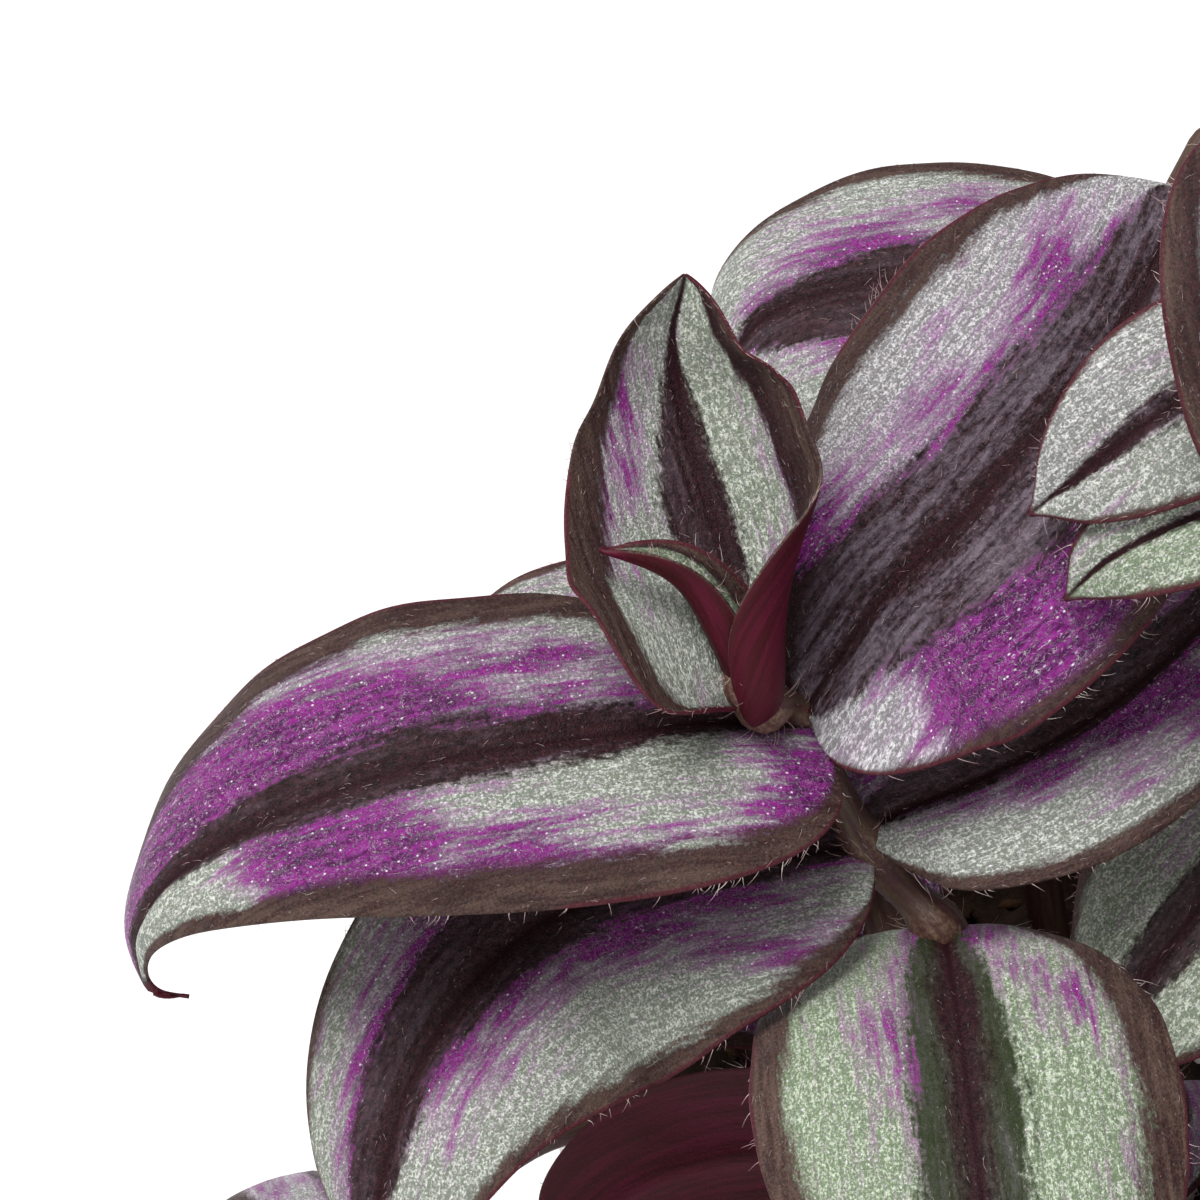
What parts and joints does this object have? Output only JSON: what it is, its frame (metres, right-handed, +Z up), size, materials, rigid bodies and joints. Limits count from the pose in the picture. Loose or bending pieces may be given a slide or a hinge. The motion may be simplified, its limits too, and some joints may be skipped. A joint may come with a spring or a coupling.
{
  "type": "potted tradescantia",
  "caption": "Potted trailing house plant with silver and purple striped leaves on arching stems, in a plain round pot of soil.",
  "frame": {"origin": "middle of the pot's flat underside", "axes": "+Z up along the pot's axis, -Y towards the front that the picture shows"},
  "size_m": [0.1832, 0.182, 0.2063],
  "materials": {
    "pot": "plain white glazed pot, smooth and softly glossy",
    "soil": "dark brown fibrous potting mix, matt and crumbly, stood in for by wood in density",
    "foliage": "living leaves with silver-green and purple bands between dark margins and midrib, sparkling cells, maroon underside, short hairs; hairy purple-green stems"
  },
  "bodies": {
    "root": {"pot": "pot", "soil": "soil", "shoot_front_left": "foliage", "shoot_front": "foliage", "shoot_back_centre": "foliage", "shoot_left_centre": "foliage", "shoot_front_trailing": "foliage", "shoot_centre_front": "foliage", "shoot_front_right": "foliage", "shoot_right": "foliage", "shoot_back_right": "foliage", "shoot_back": "foliage", "shoot_back_left": "foliage", "shoot_left_trailing": "foliage", "shoot_centre": "foliage", "shoot_right_trailing": "foliage", "shoot_back_trailing": "foliage", "shoot_right_centre": "foliage", "shoot_front_low": "foliage", "shoot_front_right_low": "foliage", "shoot_right_front": "foliage", "shoot_middle_right": "foliage", "shoot_middle_back": "foliage", "shoot_back_left_tall": "foliage", "shoot_left_front_low": "foliage", "shoot_left_back_low": "foliage", "shoot_back_right_low": "foliage", "shoot_right_low": "foliage", "shoot_middle_left": "foliage"}
  },
  "joints": []
}
